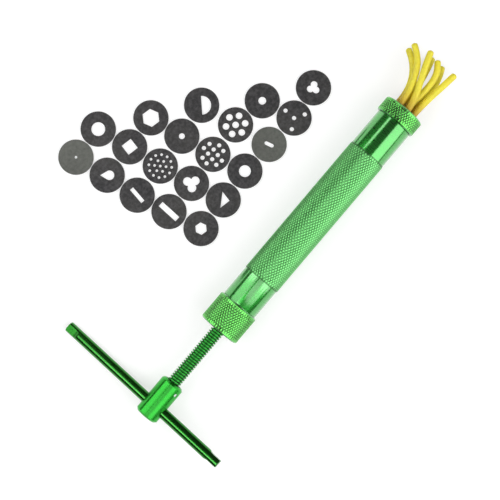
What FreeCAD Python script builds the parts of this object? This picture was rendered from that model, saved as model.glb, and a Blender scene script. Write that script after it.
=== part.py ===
import FreeCAD, Part
import math
import os

from FreeCAD import Matrix, Placement, Rotation, Vector

# A hand cranked clay extruder lying on a table beside its loose die discs.
# Sizes are in millimetres. The barrel's axis is the working X axis, pointing out of the outlet,
# and x = 0 is the barrel's front end, where a die disc seats. The table top is z = 0.

# Fits. Shafts and threads are radial clearances, the others are gaps between faces.
running_fit = 0.05
thread_fit = 0.05
press_fit = 0.02
seat_gap = 0.05
table_gap = 0.05

# Die discs
disc_d = 19.0
disc_thickness = 1.2
disc_spacing = 0.5
disc_slack = 0.15

# Barrel: the bore leaves a ledge for the disc's rim, and the ends are turned down for the cap threads
disc_ledge = 1.5
cap_thread_pitch = 1.0
barrel_shoulder = 0.55
knurl_rise = 0.35
knurl_length = 87.2
front_smooth_length = 21.8
rear_smooth_length = 17.7
front_spigot_length = 6.3
rear_spigot_length = 8.2

# Caps
cap_wall = 1.75
cap_chamfer = 0.6
cap_rim_gap = 0.2
lip_thickness = 1.3
lip_ledge = 1.7
lip_chamfer = 0.4
nut_length = 9.0

# Lead screw, as it stands in the photograph
screw_d = 7.5
screw_pitch = 1.5
screw_showing = 36.9
hub_stop_gap = 0.3
plunger_end_gap = 0.8
journal_d = 5.0
journal_end_play = 0.1

# Plunger and its seal
plunger_length = 9.0
plunger_chamfer = 0.5
seal_section = 1.8
seal_fit = 0.03
groove_side_play = 0.15

# Screw that holds the plunger on the journal
plunger_screw_d = 3.0
plunger_screw_length = 7.0
plunger_screw_head_d = 7.0
plunger_screw_head_height = 2.0
plunger_screw_slot_width = 0.9
head_recess_play = 0.25
tapped_hole_spare = 2.0

# Handle hub and its cross pin
hub_d = 13.4
hub_length = 23.0
hub_chamfer = 1.1
hub_wall_to_bar = 1.0
hub_mouth_wall = 2.0
hub_mouth_depth = 1.0
hub_pin_d = 2.0
hub_pin_from_mouth = 4.2
hub_pin_sunk = 0.3
hub_pin_angle = 50.0

# Tommy bar: its hole is nearer the hub's outer end, and drilled a little out of square
bar_from_hub_end = 7.3
bar_skew = 1.5
bar_d = 6.0
bar_long_arm = 63.1
bar_short_arm = 46.1
bar_end_chamfer = 0.4
bar_flat_thickness = 4.5
bar_flat_length = 5.5
bar_flat_turn = 12.0
bar_cutter_radius = 4.0

# Clay strands
strand_d = 3.6
strand_hole_play = 0.05
fitted_hole_circle_r = 5.23
fitted_hole_angle = 45.0

# Where the loose discs lie, from the barrel's front end and axis to the disc with the pin hole
discs_start_x = -130.0
discs_start_y = 118.9
discs_row_angle = 1.6
discs_line_angle = -79.5

# Sizes that follow from the ones above
disc_r = disc_d / 2
bore_d = disc_d - 2 * disc_ledge
thread_height = 0.35 * cap_thread_pitch
spigot_d = disc_d + 2 * (disc_slack + thread_height)
barrel_d = spigot_d + 2 * barrel_shoulder
knurl_d = barrel_d + 2 * knurl_rise
cap_bore_d = spigot_d + 2 * thread_fit
cap_d = cap_bore_d + 2 * cap_wall
outlet_d = disc_d - 2 * lip_ledge
axis_z = cap_d / 2

front_shoulder_x = -front_spigot_length
knurl_front_x = front_shoulder_x - front_smooth_length
knurl_rear_x = knurl_front_x - knurl_length
rear_shoulder_x = knurl_rear_x - rear_smooth_length
barrel_rear_x = rear_shoulder_x - rear_spigot_length
nut_face_x = barrel_rear_x - seat_gap
rear_cap_x = nut_face_x - nut_length
hub_mouth_x = rear_cap_x - screw_showing
hub_end_x = hub_mouth_x - hub_length
bar_x = hub_end_x + bar_from_hub_end
disc_back_x = seat_gap
disc_front_x = disc_back_x + disc_thickness
lip_x = disc_front_x + seat_gap
front_cap_x = lip_x + lip_thickness

bar_hole_d = bar_d + 2 * running_fit
socket_floor_x = bar_x + bar_hole_d / 2 + hub_wall_to_bar
screw_root_d = screw_d - 1.2 * screw_pitch
travel_in = screw_showing - hub_stop_gap
plunger_front_x = disc_back_x - plunger_end_gap - travel_in
plunger_rear_x = plunger_front_x - plunger_length
travel_out = plunger_rear_x - nut_face_x - hub_stop_gap
plunger_d = bore_d - 2 * running_fit
seal_d = bore_d - 2 * seal_fit
groove_d = seal_d - 2 * seal_section - 2 * press_fit
head_recess_d = plunger_screw_head_d + 2 * head_recess_play
head_recess_x = plunger_front_x - plunger_screw_head_height - journal_end_play - head_recess_play
journal_x = plunger_rear_x - seat_gap
journal_end_x = head_recess_x + journal_end_play

centre_line = Vector(0, 0, axis_z)
along_x = Vector(1, 0, 0)
up = Vector(0, 0, 1)

# The long arm's end touches the table, on the edge between its lower flat and its round side,
# which sets how far the bar leans
bar_flat_edge = math.acos(bar_flat_thickness / bar_d) - math.radians(bar_flat_turn)
bar_rest_depth = bar_d / 2 * math.cos(bar_flat_edge)
bar_rest_reach = bar_long_arm - bar_end_chamfer
bar_lean = math.asin((axis_z - table_gap) / math.hypot(bar_rest_reach, bar_rest_depth))
bar_lean -= math.atan2(bar_rest_depth, bar_rest_reach)
bar_turn = Rotation(up, -bar_skew).multiply(Rotation(along_x, -math.degrees(bar_lean)))
bar_direction = bar_turn.multVec(Vector(0, 1, 0))



def polar(radius, degrees):
    """A point on a circle about the origin."""
    angle = math.radians(degrees)
    return Vector(radius * math.cos(angle), radius * math.sin(angle), 0)


def turned(profile):
    """A piece turned on the barrel's axis, from (x, diameter) corners."""
    corners = [Vector(x, 0, axis_z + diameter / 2) for x, diameter in profile]
    face = Part.Face(Part.makePolygon(corners + corners[:1]))
    return face.revolve(centre_line, along_x, 360)


def rod(diameter, start, direction, length):
    return Part.makeCylinder(diameter / 2, length, start, direction)


# Barrel: plain spigots at both ends, smooth bands, and a raised band for the knurl
def make_barrel():
    relief = thread_height
    bore_edge = bore_d + 2 * relief
    profile = [
        (barrel_rear_x, bore_edge),
        (barrel_rear_x, spigot_d - 2 * relief),
        (barrel_rear_x + relief, spigot_d),
        (rear_shoulder_x - cap_thread_pitch, spigot_d),
        (rear_shoulder_x - cap_thread_pitch, spigot_d - 2 * relief),
        (rear_shoulder_x, spigot_d - 2 * relief),
        (rear_shoulder_x, barrel_d),
        (knurl_rear_x, barrel_d),
        (knurl_rear_x + knurl_rise, knurl_d),
        (knurl_front_x - knurl_rise, knurl_d),
        (knurl_front_x, barrel_d),
        (front_shoulder_x, barrel_d),
        (front_shoulder_x, spigot_d - 2 * relief),
        (front_shoulder_x + cap_thread_pitch, spigot_d - 2 * relief),
        (front_shoulder_x + cap_thread_pitch, spigot_d),
        (-relief, spigot_d),
        (0, spigot_d - 2 * relief),
        (0, bore_d),
        (barrel_rear_x + relief, bore_d),
    ]
    return turned(profile)


# Front cap: a knurled ring nut whose lip holds the disc against the barrel's end
def make_front_cap():
    rim_x = front_shoulder_x + cap_rim_gap
    pocket_d = disc_d + 2 * disc_slack
    profile = [
        (rim_x, cap_bore_d),
        (rim_x, cap_d - 2 * cap_chamfer),
        (rim_x + cap_chamfer, cap_d),
        (front_cap_x - cap_chamfer, cap_d),
        (front_cap_x, cap_d - 2 * cap_chamfer),
        (front_cap_x, outlet_d + 2 * lip_chamfer),
        (front_cap_x - lip_chamfer, outlet_d),
        (lip_x, outlet_d),
        (lip_x, pocket_d),
        (seat_gap, pocket_d),
        (seat_gap, cap_bore_d),
    ]
    return turned(profile)


# Rear cap: screws on the barrel's rear end, and its thick end wall is the nut of the lead screw
def make_rear_cap():
    rim_x = rear_shoulder_x - cap_rim_gap
    nut_bore_d = screw_d + 2 * thread_fit
    mouth_d = nut_bore_d + screw_pitch
    mouth_depth = screw_pitch / 2
    profile = [
        (rear_cap_x, mouth_d),
        (rear_cap_x, cap_d - 2 * cap_chamfer),
        (rear_cap_x + cap_chamfer, cap_d),
        (rim_x - cap_chamfer, cap_d),
        (rim_x, cap_d - 2 * cap_chamfer),
        (rim_x, cap_bore_d),
        (nut_face_x, cap_bore_d),
        (nut_face_x, mouth_d),
        (nut_face_x - mouth_depth, nut_bore_d),
        (rear_cap_x + mouth_depth, nut_bore_d),
    ]
    return turned(profile)


# Lead screw: the thread's outer cylinder, with the turned journal that carries the plunger
def make_lead_screw():
    hole_depth = plunger_screw_length + tapped_hole_spare
    tapped_d = plunger_screw_d + 2 * thread_fit
    end_chamfer = (screw_d - screw_root_d) / 2
    profile = [
        (socket_floor_x + seat_gap, 0),
        (socket_floor_x + seat_gap, screw_root_d),
        (socket_floor_x + seat_gap + end_chamfer, screw_d),
        (journal_x - end_chamfer, screw_d),
        (journal_x, screw_root_d),
        (journal_x, journal_d),
        (journal_end_x, journal_d),
        (journal_end_x, tapped_d),
        (journal_end_x - hole_depth, tapped_d),
        (journal_end_x - hole_depth - tapped_d / 4, 0),
    ]
    return turned(profile).cut(make_pin_hole())


# Handle hub: a boss with chamfered ends, a blind socket for the screw and a cross hole for the bar
def make_handle_hub():
    socket_d = screw_d + 2 * press_fit
    mouth_d = hub_d - 2 * hub_mouth_wall
    profile = [
        (hub_end_x, 0),
        (hub_end_x, hub_d - 2 * hub_chamfer),
        (hub_end_x + hub_chamfer, hub_d),
        (hub_mouth_x - hub_chamfer, hub_d),
        (hub_mouth_x, hub_d - 2 * hub_chamfer),
        (hub_mouth_x, mouth_d),
        (hub_mouth_x - hub_mouth_depth, mouth_d),
        (hub_mouth_x - hub_mouth_depth, socket_d),
        (socket_floor_x, socket_d),
        (socket_floor_x, 0),
    ]
    hole_start = Vector(bar_x, 0, axis_z) - bar_direction * hub_d
    bar_hole = rod(bar_hole_d, hole_start, bar_direction, 2 * hub_d)
    return turned(profile).cut([bar_hole, make_pin_hole()])


def pin_rod(diameter, length):
    """A rod across the hub, centred on its axis at the cross pin's place."""
    lean = math.radians(hub_pin_angle)
    direction = Vector(0, -math.sin(lean), math.cos(lean))
    middle = Vector(hub_mouth_x - hub_pin_from_mouth, 0, axis_z)
    return rod(diameter, middle - direction * (length / 2), direction, length)


def make_pin_hole():
    return pin_rod(hub_pin_d + 2 * press_fit, 2 * hub_d)


def make_hub_pin():
    return pin_rod(hub_pin_d, hub_d - 2 * hub_pin_sunk)


# Tommy bar: round, with two milled flats at each end, the long arm's turned a little out of level
# and the short arm's upright
def make_handle_bar():
    length = bar_long_arm + bar_short_arm
    bar = rod(bar_d, Vector(0, -bar_short_arm, 0), Vector(0, 1, 0), length)
    end_edges = [edge for edge in bar.Edges if edge.Curve.TypeId == "Part::GeomCircle"]
    bar = bar.makeChamfer(bar_end_chamfer, end_edges)
    long_end_cutter = make_flat_cutter(bar_long_arm)
    long_end_cutter.rotate(Vector(), Vector(0, 1, 0), -bar_flat_turn)
    short_end_cutter = make_flat_cutter(bar_short_arm)
    short_end_cutter.rotate(Vector(), up, 180)
    short_end_cutter.rotate(Vector(), Vector(0, 1, 0), 90)
    bar = bar.cut([long_end_cutter, short_end_cutter])
    bar.Placement = Placement(Vector(bar_x, 0, axis_z), bar_turn).multiply(bar.Placement)
    return bar


def make_flat_cutter(arm):
    """What a round cutter takes off above and below the bar's end, with a curved run-out."""
    half = bar_flat_thickness / 2
    slab = Part.makeBox(bar_d, bar_flat_length + bar_d, bar_d)
    slab.translate(Vector(-bar_d / 2, arm - bar_flat_length, half))
    run_out_axis = Vector(-bar_d / 2, arm - bar_flat_length, half + bar_cutter_radius)
    run_out = rod(2 * bar_cutter_radius, run_out_axis, along_x, bar_d)
    top = slab.fuse(run_out)
    bottom = top.copy()
    bottom.rotate(Vector(), Vector(0, 1, 0), 180)
    return top.fuse(bottom)


# Plunger: a piston with a groove for its seal and a recess for the head of its screw
def make_plunger():
    journal_hole_d = journal_d + 2 * running_fit
    groove_width = seal_section + 2 * groove_side_play
    groove_x = (plunger_rear_x + plunger_front_x - groove_width) / 2
    profile = [
        (plunger_rear_x, journal_hole_d),
        (plunger_rear_x, plunger_d - 2 * plunger_chamfer),
        (plunger_rear_x + plunger_chamfer, plunger_d),
        (groove_x, plunger_d),
        (groove_x, groove_d),
        (groove_x + groove_width, groove_d),
        (groove_x + groove_width, plunger_d),
        (plunger_front_x - plunger_chamfer, plunger_d),
        (plunger_front_x, plunger_d - 2 * plunger_chamfer),
        (plunger_front_x, head_recess_d),
        (head_recess_x, head_recess_d),
        (head_recess_x, journal_hole_d),
    ]
    return turned(profile)


def make_plunger_o_ring():
    middle = Vector((plunger_rear_x + plunger_front_x) / 2, 0, axis_z)
    ring_r = (seal_d - seal_section) / 2
    return Part.makeTorus(ring_r, seal_section / 2, middle, along_x)


def make_plunger_screw():
    shank_start = Vector(journal_end_x - plunger_screw_length, 0, axis_z)
    shank = rod(plunger_screw_d, shank_start, along_x, plunger_screw_length)
    head_start = Vector(journal_end_x, 0, axis_z)
    head = rod(plunger_screw_head_d, head_start, along_x, plunger_screw_head_height)
    slot_depth = plunger_screw_head_height / 2
    slot = Part.makeBox(slot_depth, 2 * plunger_screw_head_d, plunger_screw_slot_width)
    slot_x = journal_end_x + plunger_screw_head_height - slot_depth
    slot.translate(Vector(slot_x, -plunger_screw_head_d, axis_z - plunger_screw_slot_width / 2))
    return shank.fuse(head).cut(slot)


# Outlines of the openings that shape the clay, about a disc's centre
def round_hole(diameter, at=Vector()):
    return [Part.Face(Part.Wire(Part.makeCircle(diameter / 2, at)))]


def hole_ring(diameter, circle_r, count, start_angle):
    """Round holes evenly round a circle."""
    step = 360 / count
    return [hole for i in range(count) for hole in round_hole(diameter, polar(circle_r, start_angle + i * step))]


def hole_square(diameter, spacing, count, turn):
    """Round holes on a square grid without its four corner ones."""
    last = count - 1
    holes = []
    for i in range(count):
        for j in range(count):
            if i in (0, last) and j in (0, last):
                continue
            place = Vector((i - last / 2) * spacing, (j - last / 2) * spacing, 0)
            holes += round_hole(diameter, Rotation(up, turn).multVec(place))
    return holes


def polygon_hole(corners):
    return [Part.Face(Part.makePolygon(corners + corners[:1]))]


def regular_hole(across_flats, sides, corner_angle):
    corner_r = across_flats / 2 / math.cos(math.pi / sides)
    return polygon_hole([polar(corner_r, corner_angle + i * 360 / sides) for i in range(sides)])


def slot_hole(length, width, turn):
    half, side = length / 2, width / 2
    corners = [Vector(half, side, 0), Vector(-half, side, 0), Vector(-half, -side, 0), Vector(half, -side, 0)]
    return polygon_hole([Rotation(up, turn).multVec(corner) for corner in corners])


def round_slot_hole(length, width, turn):
    middle = slot_hole(length - width, width, turn)[0]
    ends = [round_hole(width, polar((length - width) / 2, turn + half_turn))[0] for half_turn in (0, 180)]
    return [middle.fuse(ends).removeSplitter()]


def triangle_hole(leg, corner_angle):
    """A right-angled triangle with two equal legs, its long side a little past the disc's centre."""
    height = leg / math.sqrt(2)
    corner = polar(0.78 * height, corner_angle)
    foot = polar(-0.22 * height, corner_angle)
    along = polar(height, corner_angle + 90)
    return polygon_hole([corner, foot + along, foot - along])


def teardrop_hole(round_d, tip_reach, tip_angle):
    """A round end with two straight sides that run tangent from it to a point."""
    radius = round_d / 2
    middle = polar((radius - tip_reach) / 2, tip_angle)
    tip = middle + polar(tip_reach, tip_angle)
    spread = math.degrees(math.acos(radius / tip_reach))
    first = middle + polar(radius, tip_angle + spread)
    last = middle + polar(radius, tip_angle - spread)
    arc = Part.Arc(first, middle + polar(radius, tip_angle + 180), last)
    sides = [Part.LineSegment(last, tip), Part.LineSegment(tip, first)]
    return [Part.Face(Part.Wire([arc.toShape()] + [side.toShape() for side in sides]))]


def trefoil_hole(lobe_d, offset, lobe_angle):
    """Three round lobes about an open middle."""
    centres = [polar(offset, lobe_angle + i * 120) for i in range(3)]
    lobes = [round_hole(lobe_d, centre)[0] for centre in centres]
    return [polygon_hole(centres)[0].fuse(lobes).removeSplitter()]


def half_round_hole(diameter, arc_angle):
    first = polar(diameter / 2, arc_angle + 90)
    last = polar(diameter / 2, arc_angle - 90)
    arc = Part.Arc(first, polar(diameter / 2, arc_angle), last)
    return [Part.Face(Part.Wire([arc.toShape(), Part.LineSegment(last, first).toShape()]))]


def make_disc(outlines):
    """A die disc lying flat about the origin, cut through along the given outlines."""
    blank = Part.makeCylinder(disc_r, disc_thickness)
    cutters = []
    for outline in outlines:
        outline.translate(Vector(0, 0, -disc_thickness))
        cutters.append(outline.extrude(Vector(0, 0, 3 * disc_thickness)))
    return blank.cut(cutters)


# Each loose disc: name, row, place in the row, how far it lies off the even layout, its openings
def loose_discs():
    seven_holes = round_hole(3.6) + hole_ring(3.6, fitted_hole_circle_r, 6, 19.5)
    nineteen_holes = round_hole(1.5) + hole_ring(1.5, 3.1, 6, 3.9) + hole_ring(1.5, 6.2, 12, 3.9)
    four_holes = round_hole(2.3) + hole_ring(2.3, 6.1, 3, -31)
    return [
        ("disc_pin_hole", 0, 0, 0.4, -0.5, round_hole(1.5)),
        ("disc_teardrop", 0, 1, 0.3, -0.4, teardrop_hole(5.2, 5.1, 130)),
        ("disc_slot_narrow", 0, 2, -1.0, -0.5, slot_hole(9.4, 2.2, 81)),
        ("disc_slot_wide", 0, 3, -0.2, -0.1, slot_hole(12.2, 3.1, 88)),
        ("disc_hexagon_small", 0, 4, 0.4, 0.0, regular_hole(5.8, 6, 45.8)),
        ("disc_round_large", 1, 0, 0.2, -0.4, round_hole(7.5)),
        ("disc_square", 1, 1, 0.3, -0.3, slot_hole(6.2, 6.2, -12)),
        ("disc_nineteen_hole", 1, 2, -0.5, -0.4, nineteen_holes),
        ("disc_trefoil_large", 1, 3, -0.3, -0.1, trefoil_hole(4.7, 2.45, -15)),
        ("disc_triangle", 1, 4, 0.4, 0.3, triangle_hole(6.2, -57)),
        ("disc_hexagon_large", 2, 1, 0.1, 0.5, regular_hole(8.5, 6, 47)),
        ("disc_round_fine", 2, 2, -0.2, 0.6, round_hole(3.2)),
        ("disc_twelve_hole", 2, 3, -0.4, 0.7, hole_square(2.3, 3.74, 4, -13.3)),
        ("disc_round_medium", 2, 4, 0.3, 0.9, round_hole(6.4)),
        ("disc_half_round", 3, 2, -0.1, 2.7, half_round_hole(10.2, -45.6)),
        ("disc_seven_hole", 3, 3, 0.1, 1.1, seven_holes),
        ("disc_slot_short", 3, 4, 0.2, -0.3, round_slot_hole(5.3, 2.0, 105)),
        ("disc_round_small", 4, 3, -0.2, -2.0, round_hole(4.2)),
        ("disc_four_hole", 4, 4, 0.2, -1.9, four_holes),
        ("disc_trefoil_small", 5, 4, -0.1, 0.1, trefoil_hole(3.7, 1.8, 30)),
    ]


def disc_place(row, place, off_x, off_y):
    """Centre of a loose disc on the table."""
    pitch = disc_d + disc_spacing
    start = Vector(discs_start_x + off_x, discs_start_y + off_y, 0)
    return start + polar(row * pitch, discs_row_angle) + polar(place * pitch, discs_line_angle)


# The disc in the extruder: a central hole and six round it, one for each strand
def fitted_hole_centres():
    ring = [polar(fitted_hole_circle_r, fitted_hole_angle + i * 60) for i in range(6)]
    return [Vector()] + ring


def make_fitted_disc():
    hole_d = strand_d + 2 * strand_hole_play
    disc = make_disc([hole for centre in fitted_hole_centres() for hole in round_hole(hole_d, centre)])
    # Lying X, Y and Z become upright Y, Z and X
    disc = disc.transformShape(Matrix(0, 0, 1, disc_back_x, 1, 0, 0, 0, 0, 1, 0, axis_z))
    return disc


# Seven strands of clay, each from its hole through a few bends: x is from the front cap's face,
# and y and z are from the barrel's axis
def make_clay_strands():
    routes = [
        [(10, -1.3, 0.0), (20, -1.8, -0.3), (26.5, -0.4, -0.7), (31.9, 3.7, -1.2)],
        [(9, 4.8, 3.6), (17.5, 7.6, 3.0), (23.5, 11.0, 2.3), (27.3, 14.9, 1.6), (30.2, 19.2, 0.8)],
        [(9, 0.2, 5.0), (17, 3.2, 4.6), (25, 6.6, 4.0), (32.8, 9.6, 3.2)],
        [(11, -5.8, 1.2), (21, -7.1, 0.8), (31.8, -8.4, 0.2)],
        [(11, -4.4, -4.0), (20, -4.3, -4.5), (26, -2.9, -5.0), (31.7, -0.3, -5.6)],
        [(10, 1.8, -5.4), (19, 3.5, -6.0), (26, 5.0, -6.6), (32.3, 6.6, -7.2)],
        [(8.5, 5.3, -1.6), (16.5, 8.1, -2.4), (23, 13.2, -3.3), (27.1, 19.9, -4.2)],
    ]
    strands = []
    for centre, route in zip(fitted_hole_centres(), routes):
        start = Vector(disc_back_x, centre.x, axis_z + centre.y)
        straight_end = Vector(front_cap_x, centre.x, axis_z + centre.y)
        bends = [Vector(front_cap_x + x, y, axis_z + z) for x, y, z in route]
        strands.append(round_strand([start, straight_end] + bends))
    return Part.Compound(strands)


def round_strand(points):
    """A round bar along straight runs joined by tangent arcs, as large as the runs allow."""
    edges = []
    reached = points[0]
    for before, corner, after in zip(points, points[1:], points[2:]):
        run_in = corner - before
        run_out = after - corner
        back_off = 0.45 * min(run_in.Length, run_out.Length)
        arc_start = corner - run_in.normalize() * back_off
        arc_end = corner + run_out.normalize() * back_off
        half_turn = run_in.getAngle(run_out) / 2
        radius = back_off / math.tan(half_turn)
        inward = (run_out - run_in).normalize()
        middle = corner + inward * (radius / math.cos(half_turn) - radius)
        edges.append(Part.LineSegment(reached, arc_start).toShape())
        edges.append(Part.Arc(arc_start, middle, arc_end).toShape())
        reached = arc_end
    edges.append(Part.LineSegment(reached, points[-1]).toShape())
    path = Part.Wire(edges)
    section = Part.Wire(Part.makeCircle(strand_d / 2, points[0], points[1] - points[0]))
    strand = path.makePipeShell([section], True, False)
    print(f"strand: {path.Length:.1f} long, volume over section times length",
          round(strand.Volume / (math.pi * strand_d ** 2 / 4 * path.Length), 4))
    return strand


def make_part():
    """Every piece by name, at rest, with the middle of the whole set over the origin."""
    pieces = {
        "barrel": make_barrel(),
        "front_cap": make_front_cap(),
        "rear_cap": make_rear_cap(),
        "lead_screw": make_lead_screw(),
        "handle_hub": make_handle_hub(),
        "hub_pin": make_hub_pin(),
        "handle_bar": make_handle_bar(),
        "plunger": make_plunger(),
        "plunger_o_ring": make_plunger_o_ring(),
        "plunger_screw": make_plunger_screw(),
        "fitted_disc": make_fitted_disc(),
        "clay_strands": make_clay_strands(),
    }
    for name, row, place, off_x, off_y, outlines in loose_discs():
        disc = make_disc(outlines)
        disc.translate(disc_place(row, place, off_x, off_y))
        pieces[name] = disc
    box = Part.Compound(list(pieces.values())).optimalBoundingBox()
    to_middle = Vector(-(box.XMin + box.XMax) / 2, -(box.YMin + box.YMax) / 2, 0)
    for shape in pieces.values():
        shape.translate(to_middle)
    return pieces, to_middle


os.makedirs("parts", exist_ok=True)
pieces, to_middle = make_part()
for name, shape in pieces.items():
    if not shape.isValid():
        raise ValueError(f"{name} is not a valid solid")
    shape.exportStep(f"parts/{name}.step")
    print(name, len(shape.Solids), "solids", round(shape.Volume, 1), "mm3")
print("barrel's front end stands at", to_middle)
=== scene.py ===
# A green clay extruder lying beside its twenty loose die discs, dressed for its picture.
# Turned pieces are shaped in millimetres about the barrel's axis, then set in place in metres.
import math
import random

import bmesh
import bpy
from mathutils import Matrix, Vector


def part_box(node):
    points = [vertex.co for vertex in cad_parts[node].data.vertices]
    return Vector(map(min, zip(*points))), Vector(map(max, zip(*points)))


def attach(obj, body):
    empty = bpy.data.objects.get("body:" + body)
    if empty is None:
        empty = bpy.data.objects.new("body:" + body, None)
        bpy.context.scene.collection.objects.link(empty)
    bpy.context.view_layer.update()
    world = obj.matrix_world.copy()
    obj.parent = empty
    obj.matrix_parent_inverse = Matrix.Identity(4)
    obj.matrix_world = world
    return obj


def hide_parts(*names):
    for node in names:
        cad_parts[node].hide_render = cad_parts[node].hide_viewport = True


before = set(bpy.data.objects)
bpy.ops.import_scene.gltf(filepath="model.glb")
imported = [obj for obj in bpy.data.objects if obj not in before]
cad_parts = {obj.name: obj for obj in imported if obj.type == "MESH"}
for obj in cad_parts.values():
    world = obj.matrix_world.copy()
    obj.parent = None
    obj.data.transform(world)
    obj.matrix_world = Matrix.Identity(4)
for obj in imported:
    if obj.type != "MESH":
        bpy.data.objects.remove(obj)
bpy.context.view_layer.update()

mm = 0.001
barrelLow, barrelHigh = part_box("barrel")
axisPlace = Vector((0, (barrelLow.y + barrelHigh.y) / 2, (barrelLow.z + barrelHigh.z) / 2))
setInPlace = Matrix.Translation(axisPlace) @ Matrix.Scale(mm, 4)
fullTurn = 2 * math.pi
seamGap = 0.001     # mm, within which two points along a seam are one
pointGap = 0.0001   # mm, the same for a whole finished piece


# Where a piece ends along the axis, in millimetres: side 0 is towards the handle.
def endOf(node, side):
    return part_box(node)[side].x / mm


# An sRGB hex colour as the linear numbers that a shader takes.
def linearColour(hexCode):
    channels = [int(hexCode[i:i + 2], 16) / 255 for i in (0, 2, 4)]
    return [c / 12.92 if c <= 0.04045 else ((c + 0.055) / 1.055) ** 2.4 for c in channels] + [1.0]


# A node with its settings, and each input given a value or linked to another node's output.
def addNode(tree, kind, inputs, **settings):
    node = tree.nodes.new(kind)
    for name, value in settings.items():
        setattr(node, name, value)
    for name, value in inputs.items():
        if isinstance(value, bpy.types.NodeSocket):
            tree.links.new(value, node.inputs[name])
        else:
            node.inputs[name].default_value = value
    return node


# An empty material with its shader and object coordinates ready.
def newMaterial(name):
    material = bpy.data.materials.new(name)
    material.use_nodes = True
    tree = material.node_tree
    shader = tree.nodes["Principled BSDF"]
    where = addNode(tree, "ShaderNodeTexCoord", {}).outputs["Object"]
    return material, tree, shader, where


# What is the same all over a surface is set on the shader itself.
def setSockets(shader, values):
    for name, value in values.items():
        shader.inputs[name].default_value = value


anodisedLook = {
    "cloudSize": 14.0,              # mm across a patch of stronger dye
    "coatIor": 1.9,                 # anodic film
    "coatRoughness": 0.12,
    "groovedCoatRoughness": 0.35,   # on knurls and threads
    "markWidth": 0.25,              # mm between tool marks, drawn coarser than real so that they show
    "markLength": 40,               # times their width
    "markRange": (0.3, 0.7),        # the part of the noise that draws them
    "markSheen": 0.04,              # change in roughness across them
    "markDepth": 0.0015,            # mm
    "markStrength": 0.3,
}
turnedMarks = {"along": (0, 1, 1), "turn": (0, 0, 0)}        # rings round the barrel's axis
drawnMarks = {"along": (0, 1, 0), "turn": (-8.4, 0, -1.5)}   # lines along the leaning, skewed bar

# Two shades of the dye and the weight of the clear film, then the polish of each finish
turnedFinish = {"pale": "30AC38", "deep": "2AA232", "coat": 1.0, "roughness": 0.28, "anisotropy": 0.75}
hubFinish = {"pale": "32B038", "deep": "2CA632", "coat": 0.1, "roughness": 0.28, "anisotropy": 0.75}
# The bar's dye is painted darker than the hub's so that what it mirrors reads dark, which is painted shade
barFinish = {"pale": "2A8426", "deep": "237A20", "coat": 0.2, "roughness": 0.2, "anisotropy": 0.0}

# These are painted darker in the grooves, from one radius in mm to another, which is painted shade. The
# grip's and caps' dyes are painted paler than the smooth tube's, which is painted light
screwFinish = {
    "pale": "309A36", "deep": "2A9030", "groove": "1C6222", "coat": 0.1, "roughness": 0.36,
    "darkRadius": 2.8, "paleRadius": 3.6,
}
gripFinish = {
    "pale": "7CE27E", "deep": "72D874", "groove": "1C7020", "coat": 0.5, "roughness": 0.4,
    "darkRadius": 10.58, "paleRadius": 10.78,
}
capFinish = {
    "pale": "78EE66", "deep": "6CE25A", "groove": "124E10", "coat": 0.35, "roughness": 0.27,
    "darkRadius": 11.54, "paleRadius": 11.75,
}


# The dye's cloudy colour, as an output.
def dyeColour(tree, where, finish):
    cloud = addNode(tree, "ShaderNodeTexNoise", {
        "Vector": where, "Scale": 1 / (anodisedLook["cloudSize"] * mm), "Detail": 2.0, "Roughness": 0.5})
    return addNode(tree, "ShaderNodeMix", {
        "Factor": cloud.outputs["Fac"], "A": linearColour(finish["pale"]),
        "B": linearColour(finish["deep"])}, data_type="RGBA").outputs["Result"]


# Anodised aluminium: dyed oxide over bare metal, so it mirrors the room in green, with a thin clear shine
# and the fine marks that the lathe or the drawing die left.
def makeAnodised(name, finish, marks):
    look = anodisedLook
    material, tree, shader, where = newMaterial(name)
    tree.links.new(dyeColour(tree, where, finish), shader.inputs["Base Color"])
    laid = addNode(tree, "ShaderNodeMapping", {
        "Vector": where, "Rotation": [math.radians(angle) for angle in marks["turn"]],
        "Scale": [look["markLength"] if side else 1 for side in marks["along"]]}, vector_type="TEXTURE")
    lines = addNode(tree, "ShaderNodeTexNoise", {
        "Vector": laid.outputs["Vector"], "Scale": 1 / (look["markWidth"] * mm), "Detail": 2.0})
    sheen = addNode(tree, "ShaderNodeMapRange", {
        "Value": lines.outputs["Fac"], "From Min": look["markRange"][0], "From Max": look["markRange"][1],
        "To Min": finish["roughness"] - look["markSheen"],
        "To Max": finish["roughness"] + look["markSheen"]})
    bumps = addNode(tree, "ShaderNodeBump", {
        "Strength": look["markStrength"], "Distance": look["markDepth"] * mm,
        "Height": lines.outputs["Fac"]})
    tree.links.new(sheen.outputs["Result"], shader.inputs["Roughness"])
    tree.links.new(bumps.outputs["Normal"], shader.inputs["Normal"])
    setSockets(shader, {
        "Metallic": 1.0, "Anisotropic": finish["anisotropy"], "Coat Weight": finish["coat"],
        "Coat Roughness": look["coatRoughness"], "Coat IOR": look["coatIor"]})
    if finish["anisotropy"]:
        # A lathe leaves rings round a piece, which draw its reflections out along the axis
        alongAxis = addNode(tree, "ShaderNodeCombineXYZ", {"X": 1.0})
        tree.links.new(alongAxis.outputs["Vector"], shader.inputs["Tangent"])
    return material
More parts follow.
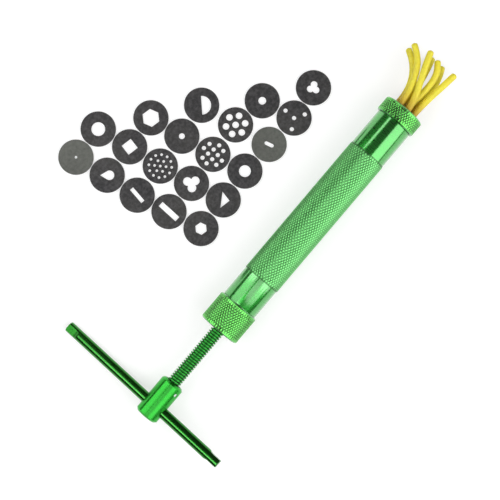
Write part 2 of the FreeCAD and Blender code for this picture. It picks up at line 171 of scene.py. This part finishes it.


# Knurled or threaded anodised aluminium: the crests keep the dye, and the grooves are painted dark as
# painted shade.
def makeGrooved(name, finish):
    material, tree, shader, where = newMaterial(name)
    centred = addNode(tree, "ShaderNodeVectorMath", {0: where, 1: axisPlace}, operation="SUBTRACT")
    across = addNode(tree, "ShaderNodeVectorMath", {
        0: centred.outputs[0], 1: (0, 1, 1)}, operation="MULTIPLY")
    radius = addNode(tree, "ShaderNodeVectorMath", {0: across.outputs[0]}, operation="LENGTH")
    height = addNode(tree, "ShaderNodeMapRange", {
        "Value": radius.outputs["Value"], "From Min": finish["darkRadius"] * mm,
        "From Max": finish["paleRadius"] * mm})
    # Painted shade: below the pale radius the colour darkens to the groove colour
    tint = addNode(tree, "ShaderNodeMix", {
        "Factor": height.outputs["Result"], "A": linearColour(finish["groove"]),
        "B": dyeColour(tree, where, finish)}, data_type="RGBA")
    tree.links.new(tint.outputs["Result"], shader.inputs["Base Color"])
    setSockets(shader, {
        "Metallic": 1.0, "Roughness": finish["roughness"], "Coat Weight": finish["coat"],
        "Coat Roughness": anodisedLook["groovedCoatRoughness"], "Coat IOR": anodisedLook["coatIor"]})
    return material


discLook = {
    "batch": 26.0, "batchRange": (0.35, 0.65),    # mm from one tone to the next, and how sharply
    "grain": 1.7, "grainRange": (0.4, 0.75),      # mm across a mottle
    "mottling": 0.6, "pitDepth": 0.05, "pitStrength": 0.15,
    "roughness": 0.5, "metallic": 0.2,            # the oxide hides most of the metal
}
darkTones = {"cool": "242325", "warm": "343331", "mottle": "5C5A5C"}
wornTones = {"cool": "5A5B56", "warm": "62645E", "mottle": "3E3F3C"}


# Blackened steel: punched sheet in a matte charcoal oxide, faintly mottled.
def makeBlackened(name, tones):
    look = discLook
    material, tree, shader, where = newMaterial(name)
    batch = addNode(tree, "ShaderNodeTexNoise", {
        "Vector": where, "Scale": 1 / (look["batch"] * mm), "Detail": 1.0})
    spread = addNode(tree, "ShaderNodeMapRange", {
        "Value": batch.outputs["Fac"], "From Min": look["batchRange"][0],
        "From Max": look["batchRange"][1]})
    oxide = addNode(tree, "ShaderNodeMix", {
        "Factor": spread.outputs["Result"], "A": linearColour(tones["cool"]),
        "B": linearColour(tones["warm"])}, data_type="RGBA")
    grain = addNode(tree, "ShaderNodeTexNoise", {
        "Vector": where, "Scale": 1 / (look["grain"] * mm), "Detail": 4.0, "Roughness": 0.65})
    patches = addNode(tree, "ShaderNodeMapRange", {
        "Value": grain.outputs["Fac"], "From Min": look["grainRange"][0], "From Max": look["grainRange"][1],
        "To Min": 0.0, "To Max": look["mottling"]})
    tint = addNode(tree, "ShaderNodeMix", {
        "Factor": patches.outputs["Result"], "A": oxide.outputs["Result"],
        "B": linearColour(tones["mottle"])}, data_type="RGBA")
    bumps = addNode(tree, "ShaderNodeBump", {
        "Strength": look["pitStrength"], "Distance": look["pitDepth"] * mm, "Height": grain.outputs["Fac"]})
    tree.links.new(tint.outputs["Result"], shader.inputs["Base Color"])
    tree.links.new(bumps.outputs["Normal"], shader.inputs["Normal"])
    setSockets(shader, {"Metallic": look["metallic"], "Roughness": look["roughness"]})
    return material


clayLook = {
    "body": "FAF24A", "shade": "E2CE30", "streak": 1.4,        # mm across a streak
    # Painted shade: root is the deeper colour near the cap, and the two lengths say where it fades to full
    # colour
    "root": "C8A024", "capShadeInside": 1.0, "capShadeLength": 13.0,   # mm, from inside the cap to full colour
    "dragDepth": 0.15, "dragStrength": 0.35,
    "roughness": 0.5,
    "softWeight": 0.15, "softDepth": 1.5, "softReach": (1.0, 0.7, 0.2),   # light sinks in: mm, by colour
}


# Soft modelling clay: waxy yellow, pressed smooth by the die with faint drag marks, and painted a deeper
# ochre where it leaves the cap, which is painted shade.
def makeClay(name):
    look = clayLook
    material, tree, shader, where = newMaterial(name)
    cloud = addNode(tree, "ShaderNodeTexNoise", {
        "Vector": where, "Scale": 1 / (look["streak"] * mm), "Detail": 3.0, "Roughness": 0.6})
    pressed = addNode(tree, "ShaderNodeMix", {
        "Factor": cloud.outputs["Fac"], "A": linearColour(look["body"]),
        "B": linearColour(look["shade"])}, data_type="RGBA")
    axisParts = addNode(tree, "ShaderNodeSeparateXYZ", {"Vector": where})
    # Painted shade: the colour deepens to the root tone towards the cap's face
    capFace = endOf("front_cap", 1)
    fromCap = addNode(tree, "ShaderNodeMapRange", {
        "Value": axisParts.outputs["X"], "From Min": (capFace - look["capShadeInside"]) * mm,
        "From Max": (capFace + look["capShadeLength"]) * mm}, interpolation_type="SMOOTHSTEP")
    tint = addNode(tree, "ShaderNodeMix", {
        "Factor": fromCap.outputs["Result"], "A": linearColour(look["root"]),
        "B": pressed.outputs["Result"]}, data_type="RGBA")
    bumps = addNode(tree, "ShaderNodeBump", {
        "Strength": look["dragStrength"], "Distance": look["dragDepth"] * mm,
        "Height": cloud.outputs["Fac"]})
    tree.links.new(tint.outputs["Result"], shader.inputs["Base Color"])
    tree.links.new(bumps.outputs["Normal"], shader.inputs["Normal"])
    setSockets(shader, {
        "Roughness": look["roughness"], "Subsurface Weight": look["softWeight"],
        "Subsurface Scale": look["softDepth"] * mm, "Subsurface Radius": look["softReach"]})
    return material


bareSheen = 0.06   # change in roughness across the cutting tool's marks


# Bare turned or ground metal: a clear mirror broken by the fine uneven sheen that the cutting tool leaves.
def makeBareMetal(name, colour, roughness, scratch):
    material, tree, shader, where = newMaterial(name)
    marks = addNode(tree, "ShaderNodeTexNoise", {
        "Vector": where, "Scale": 1 / (scratch * mm), "Detail": 3.0})
    sheen = addNode(tree, "ShaderNodeMapRange", {
        "Value": marks.outputs["Fac"], "To Min": roughness - bareSheen, "To Max": roughness + bareSheen})
    tree.links.new(sheen.outputs["Result"], shader.inputs["Roughness"])
    setSockets(shader, {"Metallic": 1.0, "Base Color": linearColour(colour)})
    return material


sealLook = {"colour": "1B1B1D", "roughness": 0.45, "grain": 0.4, "grainDepth": 0.02, "grainStrength": 0.1}


# Nitrile rubber seal: black, moulded, with a soft greasy sheen.
def makeRubber(name):
    look = sealLook
    material, tree, shader, where = newMaterial(name)
    skin = addNode(tree, "ShaderNodeTexNoise", {
        "Vector": where, "Scale": 1 / (look["grain"] * mm), "Detail": 2.0})
    bumps = addNode(tree, "ShaderNodeBump", {
        "Strength": look["grainStrength"], "Distance": look["grainDepth"] * mm,
        "Height": skin.outputs["Fac"]})
    tree.links.new(bumps.outputs["Normal"], shader.inputs["Normal"])
    setSockets(shader, {"Base Color": linearColour(look["colour"]), "Roughness": look["roughness"]})
    return material


turnedGreen = makeAnodised("anodisedAluminiumTurned", turnedFinish, turnedMarks)
hubGreen = makeAnodised("anodisedAluminiumHub", hubFinish, turnedMarks)
drawnGreen = makeAnodised("anodisedAluminiumDrawn", barFinish, drawnMarks)
threadedGreen = makeGrooved("anodisedAluminiumThreaded", screwFinish)
knurledGreen = makeGrooved("anodisedAluminiumKnurled", gripFinish)
knurledCapGreen = makeGrooved("anodisedAluminiumKnurledCap", capFinish)
discBlack = makeBlackened("blackenedSteelPunched", darkTones)
discPale = makeBlackened("blackenedSteelWorn", wornTones)
clayYellow = makeClay("polymerClayExtruded")
bareAluminium = makeBareMetal("aluminiumTurned", colour="D6D6D3", roughness=0.32, scratch=0.3)
screwSteel = makeBareMetal("steelTurned", colour="A9A6A2", roughness=0.35, scratch=0.3)
pinSteel = makeBareMetal("steelGround", colour="E9F2EE", roughness=0.4, scratch=0.2)
sealBlack = makeRubber("nitrileRubberMoulded")
print("materials made")


# Spins a line of corners about the axis. Each is x, its radius and, where it isn't sharp, a rounding.
def spinProfile(mesh, profile, steps):
    corners = [mesh.verts.new((corner[0], 0, corner[1])) for corner in profile]
    for pair in zip(corners, corners[1:]):
        mesh.edges.new(pair)
    line = list(corners)
    for vert, corner in zip(corners, profile):
        if len(corner) == 3:
            line += bmesh.ops.bevel(
                mesh, geom=[vert], offset=corner[2], segments=2, profile=0.5, affect="VERTICES",
                material=-1)["verts"]
    line = list(dict.fromkeys(vert for vert in line if vert.is_valid))
    edges = list(dict.fromkeys(edge for vert in line for edge in vert.link_edges))
    bmesh.ops.spin(
        mesh, geom=line + edges, cent=(0, 0, 0), axis=(1, 0, 0), angle=fullTurn, steps=steps,
        use_merge=True)


# A band of pressed diamonds, so many around and along, that starts and ends at the radius edge.
def addKnurl(mesh, start, length, around, along, crest, groove, edge, flat):
    columns, rows = 2 * around, 2 * along
    grid = bmesh.ops.create_grid(mesh, x_segments=columns, y_segments=rows, size=0.5)["verts"]
    grooves = []
    for vert in grid:
        column, row = round((vert.co.x + 0.5) * columns), round((vert.co.y + 0.5) * rows)
        isCrest = (column + row) % 2 == 0
        atEdge = row in (0, rows)
        radius = edge if atEdge else (crest if isCrest else groove)
        angle = fullTurn * column / columns
        vert.co = (start + length * row / rows, radius * math.sin(angle), radius * math.cos(angle))
        vert.tag = isCrest and not atEdge
        if not isCrest:
            grooves.append(vert)
    bmesh.ops.connect_verts(mesh, verts=grooves)
    bmesh.ops.remove_doubles(mesh, verts=grid, dist=seamGap)
    tops = [vert for vert in mesh.verts if vert.tag]
    bmesh.ops.bevel(
        mesh, geom=tops, offset=flat, segments=1, profile=0.5, affect="VERTICES", material=-1)
    outside = groove - 0.1   # well clear of the bore
    for face in mesh.faces:
        centre = face.calc_center_median()
        if start < centre.x < start + length and centre.yz.length > outside:
            face.material_index = 1


threadForm = ((0.0, 1), (0.4, 1), (0.62, 0), (0.78, 0))   # share of the pitch, and 1 on the crest
spareTurns = 2                                            # laid before the start, and cut off flat


# A right-handed thread between two flat ends, its crest run down to the root at each end.
def addThread(mesh, start, end, pitch, crest, root, columns):
    turns = math.ceil((end - start) / pitch) + spareTurns + 1
    rows = len(threadForm) * turns
    old = set(mesh.verts)
    grid = bmesh.ops.create_grid(mesh, x_segments=columns, y_segments=rows, size=0.5)["verts"]
    for vert in grid:
        column, row = round((vert.co.x + 0.5) * columns), round((vert.co.y + 0.5) * rows)
        share, isCrest = threadForm[row % len(threadForm)]
        x = start + (row // len(threadForm) + share + column / columns - spareTurns) * pitch
        radius = min(crest if isCrest else root, root + max(0, x - start), root + max(0, end - x))
        angle = fullTurn * column / columns
        vert.co = (x, radius * math.cos(angle), radius * math.sin(angle))
    bmesh.ops.remove_doubles(mesh, verts=grid, dist=seamGap)
    for place, away in ((start, -1), (end, 1)):
        verts = [vert for vert in mesh.verts if vert not in old]
        edges = [edge for edge in mesh.edges if edge.verts[0] not in old]
        faces = [face for face in mesh.faces if face.verts[0] not in old]
        bmesh.ops.bisect_plane(
            mesh, geom=verts + edges + faces, dist=1e-6, plane_co=(place, 0, 0), plane_no=(away, 0, 0),
            clear_outer=True)


# The open edges that lie on a flat end at x.
def openEdges(mesh, x):
    return [
        edge for edge in mesh.edges
        if edge.is_boundary and all(abs(vert.co.x - x) < seamGap for vert in edge.verts)]


# Joins the two open rings at each place by a flat ring of faces.
def closeEnds(mesh, *places):
    for place in places:
        bmesh.ops.bridge_loops(mesh, edges=openEdges(mesh, place))


# Turns a shaped mesh into the finished piece that stands for a node, on its body.
def finishPiece(mesh, name, body, node, materials, sharp=28):
    bmesh.ops.remove_doubles(mesh, verts=mesh.verts, dist=pointGap)
    bmesh.ops.recalc_face_normals(mesh, faces=mesh.faces)
    bmesh.ops.transform(mesh, matrix=setInPlace, verts=mesh.verts)
    for face in mesh.faces:
        face.smooth = True
    openCount = sum(not edge.is_manifold for edge in mesh.edges)
    data = bpy.data.meshes.new(name)
    mesh.to_mesh(data)
    mesh.free()
    data.set_sharp_from_angle(angle=math.radians(sharp))
    for material in materials:
        data.materials.append(material)
    piece = bpy.data.objects.new(name, data)
    bpy.context.scene.collection.objects.link(piece)
    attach(piece, body)
    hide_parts(node)
    print(name, len(data.polygons), "faces", openCount, "open edges")


barrel = {
    "smoothRadius": 10.55, "spigotRadius": 10.0, "boreRadius": 8.0, "boreMouth": 0.7, "edgeRound": 0.15,
    "frontSpigot": 6.3, "frontSmooth": 21.8, "knurl": 87.2, "rearSpigot": 8.2,   # lengths
    "threadPitch": 1.0, "threadDepth": 0.35,
    "diamondsRound": 42, "diamondsAlong": 34,   # 1.6 mm wide and 2.6 mm long
    "crestRadius": 10.9, "grooveRadius": 10.58, "crestFlat": 0.27,
}


# The tube: threaded spigots, smooth bands and the knurled grip between them.
def makeBarrel():
    b = barrel
    pitch, spigot, smooth, bore = b["threadPitch"], b["spigotRadius"], b["smoothRadius"], b["boreRadius"]
    root = spigot - b["threadDepth"]
    steps = 2 * b["diamondsRound"]
    front, rear = endOf("barrel", 1), endOf("barrel", 0)
    frontShoulder, rearShoulder = front - b["frontSpigot"], rear + b["rearSpigot"]
    frontThread, rearThread = frontShoulder + pitch, rearShoulder - pitch   # a plain neck comes before each
    knurlFront = frontShoulder - b["frontSmooth"]
    knurlRear = knurlFront - b["knurl"]
    mesh = bmesh.new()
    spinProfile(mesh, [
        (rearThread, root), (rearShoulder, root), (rearShoulder, smooth, b["edgeRound"]),
        (knurlRear, smooth)], steps)
    spinProfile(mesh, [
        (knurlFront, smooth), (frontShoulder, smooth, b["edgeRound"]), (frontShoulder, root),
        (frontThread, root)], steps)
    spinProfile(mesh, [(rear, bore + b["boreMouth"]), (rear + b["boreMouth"], bore), (front, bore)], steps)
    addThread(mesh, rear, rearThread, pitch, spigot, root, steps)
    addThread(mesh, frontThread, front, pitch, spigot, root, steps)
    closeEnds(mesh, rear, rearThread, frontThread, front)
    addKnurl(
        mesh, knurlRear, b["knurl"], b["diamondsRound"], b["diamondsAlong"], b["crestRadius"],
        b["grooveRadius"], smooth, b["crestFlat"])
    finishPiece(mesh, "knurled_barrel", "barrel", "barrel", [turnedGreen, knurledGreen])


capRim = {   # what both caps share
    "radius": 11.8, "boreRadius": 10.05, "chamfer": 0.6, "edgeRound": 0.12,
    "grooveDepth": 0.26, "crestFlat": 0.24, "runOut": 0.1,   # the knurl ends this far below its crests
}


# The knurl round a cap, between the chamfers at its ends.
def knurlRim(mesh, start, end, around, along):
    r = capRim
    addKnurl(
        mesh, start + r["chamfer"], end - start - 2 * r["chamfer"], around, along, r["radius"],
        r["radius"] - r["grooveDepth"], r["radius"] - r["runOut"], r["crestFlat"])


frontCap = {
    "diamondsRound": 46, "diamondsAlong": 3,
    "lip": 1.3, "lipChamfer": 0.4, "outletRadius": 7.8, "pocketRadius": 9.65, "pocketDepth": 2.55,
}


# The ring nut at the outlet: knurled round its rim, with the lip that holds the fitted disc.
def makeFrontCap():
    c, r = frontCap, capRim
    rim, face = endOf("front_cap", 0), endOf("front_cap", 1)
    low, high = r["radius"] - r["chamfer"], r["radius"] - r["runOut"]
    outlet, pocketFloor = c["outletRadius"], face - c["pocketDepth"]
    mesh = bmesh.new()
    spinProfile(mesh, [
        (face - r["chamfer"], high), (face, low, r["edgeRound"]), (face, outlet + c["lipChamfer"]),
        (face - c["lipChamfer"], outlet), (face - c["lip"], outlet), (face - c["lip"], c["pocketRadius"]),
        (pocketFloor, c["pocketRadius"]), (pocketFloor, r["boreRadius"]), (rim, r["boreRadius"]),
        (rim, low, r["edgeRound"]), (rim + r["chamfer"], high)], 2 * c["diamondsRound"])
    knurlRim(mesh, rim, face, c["diamondsRound"], c["diamondsAlong"])
    finishPiece(
        mesh, "knurled_front_cap", "front_cap", "front_cap",
        [turnedGreen, knurledCapGreen])


rearCap = {
    "diamondsRound": 49, "diamondsAlong": 6,
    "nutLength": 9.0, "nutRadius": 3.8, "nutMouth": 0.75,
}


# The long cap at the handle end, whose thick end wall is the nut of the lead screw.
def makeRearCap():
    c, r = rearCap, capRim
    face, rim = endOf("rear_cap", 0), endOf("rear_cap", 1)
    low, high = r["radius"] - r["chamfer"], r["radius"] - r["runOut"]
    mouth, nutFace = c["nutRadius"] + c["nutMouth"], face + c["nutLength"]
    mesh = bmesh.new()
    spinProfile(mesh, [
        (rim - r["chamfer"], high), (rim, low, r["edgeRound"]), (rim, r["boreRadius"]),
        (nutFace, r["boreRadius"]), (nutFace, mouth), (nutFace - c["nutMouth"], c["nutRadius"]),
        (face + c["nutMouth"], c["nutRadius"]), (face, mouth), (face, low, r["edgeRound"]),
        (face + r["chamfer"], high)], 2 * c["diamondsRound"])
    knurlRim(mesh, face, rim, c["diamondsRound"], c["diamondsAlong"])
    finishPiece(
        mesh, "knurled_rear_cap", "barrel", "rear_cap", [turnedGreen, knurledCapGreen])


screw = {
    "pitch": 1.5, "crestRadius": 3.75, "rootRadius": 2.75, "columns": 40,
    "journalRadius": 2.5, "journalRound": 0.1, "journalClear": 0.05,   # behind the plunger
    "holeRadius": 1.55, "holeDepth": 9.0, "holeCone": 0.8,
}


# The threaded rod, from its socket in the hub to the journal that carries the plunger.
def makeLeadScrew():
    s = screw
    start, journalEnd = endOf("lead_screw", 0), endOf("lead_screw", 1)
    journalStart = endOf("plunger", 0) - s["journalClear"]
    holeFloor = journalEnd - s["holeDepth"]
    mesh = bmesh.new()
    spinProfile(mesh, [
        (journalStart, s["journalRadius"]), (journalEnd, s["journalRadius"], s["journalRound"]),
        (journalEnd, s["holeRadius"]), (holeFloor, s["holeRadius"]), (holeFloor - s["holeCone"], 0)],
        s["columns"])
    addThread(mesh, start, journalStart, s["pitch"], s["crestRadius"], s["rootRadius"], s["columns"])
    closeEnds(mesh, journalStart)
    bmesh.ops.edgeloop_fill(mesh, edges=openEdges(mesh, start))
    finishPiece(
        mesh, "threaded_lead_screw", "lead_screw", "lead_screw", [threadedGreen])


clay = {
    "diameter": 3.6, "holeCircle": 5.23, "holeAngle": 45.0, "unevenness": 0.05,
    "tipLength": 1.6,
    "tipForm": ((1.0, 1.0), (0.45, 0.92), (0.12, 0.62), (0.0, 0.28)),   # shares of its length and girth
    "routes": [   # x from the front cap's face, y and z from the axis
        [(10, -1.3, 0.0), (20, -1.8, -0.3), (26.5, -0.4, -0.7), (31.9, 3.7, -1.2)],
        [(9, 4.8, 3.6), (17.5, 7.6, 3.0), (23.5, 11.0, 2.3), (27.3, 14.9, 1.6), (30.2, 19.2, 0.8)],
        [(9, 0.4, 5.0), (17, 3.7, 4.6), (25, 7.0, 4.0), (32.8, 9.6, 3.2)],
        [(11, -5.8, 1.2), (21, -7.1, 0.8), (31.8, -8.4, 0.2)],
        [(11, -4.4, -4.0), (20, -4.3, -4.5), (26, -2.9, -5.0), (31.7, -0.3, -5.6)],
        [(10, 1.8, -5.4), (19, 3.5, -6.0), (26, 5.0, -6.6), (32.3, 6.6, -7.2)],
        [(8.5, 5.3, -1.6), (16.5, 8.1, -2.4), (23, 13.2, -3.3), (27.1, 19.9, -4.2)],
    ],
}


# Seven strands pressed out of the fitted disc, each a tube of slightly uneven girth with a rounded tip.
def makeClayStrands():
    c = clay
    rough = random.Random(7)
    curve = bpy.data.curves.new("clayRoutes", "CURVE")
    curve.dimensions = "3D"
    curve.bevel_depth = c["diameter"] / 2
    curve.bevel_resolution = 6
    curve.resolution_u = 8
    curve.use_fill_caps = True
    discBack, face = endOf("fitted_disc", 0), endOf("front_cap", 1)
    holes = [(0.0, 0.0)]
    for i in range(6):
        angle = math.radians(c["holeAngle"] + 60 * i)
        holes.append((c["holeCircle"] * math.cos(angle), c["holeCircle"] * math.sin(angle)))
    for (y, z), route in zip(holes, c["routes"]):
        points = [Vector((discBack, y, z)), Vector((face, y, z))]
        points += [Vector((face + x, py, pz)) for x, py, pz in route]
        back = (points[-2] - points[-1]).normalized()
        tip = points.pop()
        girths = [1.0, 1.0] + [1 + rough.uniform(-c["unevenness"], c["unevenness"]) for _ in points[2:]]
        for share, girth in c["tipForm"]:
            points.append(tip + back * (share * c["tipLength"]))
            girths.append(girth)
        spline = curve.splines.new("NURBS")
        spline.points.add(len(points) - 1)
        for target, place, girth in zip(spline.points, points, girths):
            target.co = (*place, 1.0)
            target.radius = girth
        spline.order_u = 3
        spline.use_endpoint_u = True
    holder = bpy.data.objects.new("clayRoutes", curve)
    bpy.context.scene.collection.objects.link(holder)
    tube = bpy.data.meshes.new_from_object(holder.evaluated_get(bpy.context.evaluated_depsgraph_get()))
    bpy.data.objects.remove(holder)
    mesh = bmesh.new()
    mesh.from_mesh(tube)
    finishPiece(
        mesh, "clay_strands_pressed", "fitted_disc", "clay_strands", [clayYellow], sharp=60)


makeBarrel()
makeFrontCap()
makeRearCap()
makeLeadScrew()
makeClayStrands()
print("turned pieces and clay made")


# Pieces whose solid already has the right shape take only their finish
finishes = {
    "handle_hub": hubGreen, "handle_bar": drawnGreen, "hub_pin": pinSteel, "plunger": bareAluminium,
    "plunger_o_ring": sealBlack, "plunger_screw": screwSteel, "fitted_disc": discBlack,
}
finishes.update({node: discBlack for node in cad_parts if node.startswith("disc_")})
finishes.update({"disc_pin_hole": discPale, "disc_slot_short": discPale})
for node, finish in finishes.items():
    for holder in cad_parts[node].material_slots:
        holder.material = finish
print("finishes given")


studio = {
    "cameraX": -20.08, "cameraY": -26.65, "cameraHeight": 835.0, "cameraTurn": -49.71, "fieldOfView": 18.33,
    "clip": (0.05, 50),                    # metres
    "floorRadius": 4000.0, "floorColour": "BCBCBC", "floorBelow": 0.02,
    "floorGlow": 0.58, "glowRange": (300.0, 1000.0),   # rises to 1 where the lamps no longer reach
    "roomColour": "FFFFFF", "roomLevel": 0.08,
    "backdropFade": (1.2, 3.2),            # degrees above the horizon, from white to the dim room
}


def addCamera():
    camera = bpy.data.cameras.new("camera")
    camera.angle = math.radians(studio["fieldOfView"])
    camera.clip_start, camera.clip_end = studio["clip"]
    holder = bpy.data.objects.new("camera", camera)
    bpy.context.scene.collection.objects.link(holder)
    holder.location = (studio["cameraX"] * mm, studio["cameraY"] * mm, studio["cameraHeight"] * mm)
    holder.rotation_euler = (0, 0, math.radians(studio["cameraTurn"]))
    bpy.context.scene.camera = holder


# 1 for what the camera sees, straight on or in metal and glass, and 0 for light that falls on things.
def seenDirectly(tree):
    rays = addNode(tree, "ShaderNodeLightPath", {}).outputs
    seen = addNode(tree, "ShaderNodeMath", {
        0: rays["Is Camera Ray"], 1: rays["Is Glossy Ray"]}, operation="MAXIMUM")
    return addNode(tree, "ShaderNodeMath", {
        0: seen.outputs[0], 1: rays["Is Transmission Ray"]}, operation="MAXIMUM").outputs[0]


# Painted board: a matte pale table top that reads as white behind the object and still takes its shadow.
def addFloor():
    mesh = bmesh.new()
    bmesh.ops.create_circle(mesh, cap_ends=True, segments=96, radius=studio["floorRadius"] * mm)
    data = bpy.data.meshes.new("floor")
    mesh.to_mesh(data)
    mesh.free()
    floor = bpy.data.objects.new("floor", data)
    bpy.context.scene.collection.objects.link(floor)
    floor.location = (0, 0, -studio["floorBelow"] * mm)
    material, tree, shader, where = newMaterial("paintedTable")
    tree.nodes.remove(shader)
    away = addNode(tree, "ShaderNodeVectorMath", {0: where}, operation="LENGTH").outputs["Value"]
    level = addNode(tree, "ShaderNodeMapRange", {
        "Value": away, "From Min": studio["glowRange"][0] * mm, "From Max": studio["glowRange"][1] * mm,
        "To Min": studio["floorGlow"], "To Max": 1.0}, interpolation_type="SMOOTHSTEP").outputs["Result"]
    glow = addNode(tree, "ShaderNodeMath", {0: seenDirectly(tree), 1: level}, operation="MULTIPLY")
    paint = addNode(tree, "ShaderNodeBsdfDiffuse", {"Color": linearColour(studio["floorColour"])})
    light = addNode(tree, "ShaderNodeEmission", {"Strength": glow.outputs[0]})
    both = addNode(tree, "ShaderNodeAddShader", {0: paint.outputs[0], 1: light.outputs[0]})
    tree.links.new(both.outputs[0], tree.nodes["Material Output"].inputs["Surface"])
    data.materials.append(material)


# Metres along X, degrees round the barrel towards +Y, metres away, and size along and across
softLights = {
    "frontSoftbox": {"along": 0.28, "angle": -51, "away": 0.8, "size": (0.84, 0.87), "level": 2.3},
    "frontStrip": {"along": 0.45, "angle": 38, "away": 0.8, "size": (0.5, 0.18), "level": 2.3},
    "rearSoftbox": {"along": -0.2, "angle": -25, "away": 0.8, "size": (0.26, 1.1), "level": 1.9},
    "rearSideSoftbox": {"along": -0.28, "angle": 43, "away": 0.8, "size": (0.45, 0.8), "level": 1.55},
    "handleStrip": {"along": -0.56, "angle": 14, "away": 0.8, "size": (0.32, 0.3), "level": 4.6},
    "gripSoftbox": {"along": -0.02, "angle": 50, "away": 0.8, "size": (0.22, 0.6), "level": 2.3},
    "ceilingFill": {
        "along": 0.0, "angle": 0, "away": 1.6, "size": (1.6, 1.6), "level": 0.5, "mirrored": False},
}


def addLights():
    for name, light in softLights.items():
        lamp = bpy.data.lights.new(name, "AREA")
        lamp.shape = "RECTANGLE"
        lamp.size, lamp.size_y = light["size"]
        lamp.energy = light["level"] * math.pi * lamp.size * lamp.size_y
        holder = bpy.data.objects.new(name, lamp)
        holder.visible_camera = False
        holder.visible_glossy = light.get("mirrored", True)
        bpy.context.scene.collection.objects.link(holder)
        angle = math.radians(light["angle"])
        up = Vector((0, math.sin(angle), math.cos(angle)))
        holder.location = Vector((light["along"], axisPlace.y, axisPlace.z)) + up * light["away"]
        holder.rotation_euler = (-angle, 0, 0)


# A dim room above a low white backdrop that the table runs out to.
def addRoom():
    world = bpy.data.worlds.new("room")
    bpy.context.scene.world = world
    world.use_nodes = True
    tree = world.node_tree
    direction = addNode(tree, "ShaderNodeTexCoord", {}).outputs["Generated"]
    parts = addNode(tree, "ShaderNodeSeparateXYZ", {"Vector": direction})
    low, high = [math.sin(math.radians(angle)) for angle in studio["backdropFade"]]
    backdrop = addNode(tree, "ShaderNodeMapRange", {
        "Value": parts.outputs["Z"], "From Min": low, "From Max": high, "To Min": 1.0, "To Max": 0.0},
        interpolation_type="SMOOTHSTEP")
    white = addNode(tree, "ShaderNodeMath", {
        0: seenDirectly(tree), 1: backdrop.outputs["Result"]}, operation="MULTIPLY")
    level = addNode(tree, "ShaderNodeMath", {
        0: white.outputs[0], 1: studio["roomLevel"]}, operation="MAXIMUM")
    background = tree.nodes["Background"]
    background.inputs["Color"].default_value = linearColour(studio["roomColour"])
    tree.links.new(level.outputs[0], background.inputs["Strength"])


addCamera()
addFloor()
addLights()
addRoom()
bpy.context.scene.view_settings.view_transform = "Standard"
print("studio set")
